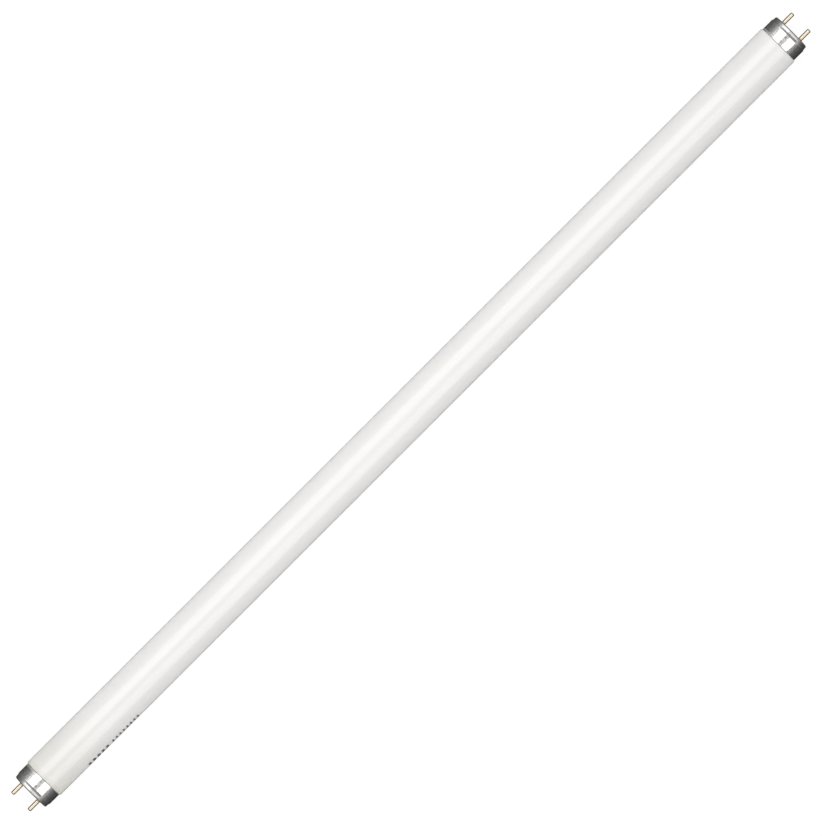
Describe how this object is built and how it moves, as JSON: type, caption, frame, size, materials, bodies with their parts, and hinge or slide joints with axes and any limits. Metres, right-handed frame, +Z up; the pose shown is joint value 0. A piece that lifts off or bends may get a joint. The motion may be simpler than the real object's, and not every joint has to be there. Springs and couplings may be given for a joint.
{
  "type": "fluorescent tube",
  "caption": "Straight white fluorescent tube: a sealed glass barrel with a stepped metal cap and contact pins at each end, for a pair of lampholders.",
  "frame": {"origin": "middle of the tube on its axis", "axes": "+X along the tube, +Y across the pins of a cap, +Z up, away from the surface that the tube lies on"},
  "size_m": [0.6036, 0.0254, 0.0254],
  "materials": {
    "coated_glass": "clear glass over a matt white powder coat, glossy outside",
    "cap_aluminium": "bright drawn sheet with faint drawing marks",
    "insulator_moulding": "dark brown pressed moulding",
    "pin_brass": "bright brass",
    "capping_cement": "matt baked filler",
    "lead_wire": "plated wire"
  },
  "bodies": {
    "root": {"glass_bulb": "coated_glass", "left_cap_shell": "cap_aluminium", "right_cap_shell": "cap_aluminium", "left_insulator_plate": "insulator_moulding", "right_insulator_plate": "insulator_moulding", "left_front_pin": "pin_brass", "left_back_pin": "pin_brass", "right_front_pin": "pin_brass", "right_back_pin": "pin_brass", "left_cap_cement": "capping_cement", "right_cap_cement": "capping_cement", "left_front_lead_wire": "lead_wire", "left_back_lead_wire": "lead_wire", "right_front_lead_wire": "lead_wire", "right_back_lead_wire": "lead_wire"}
  },
  "joints": []
}
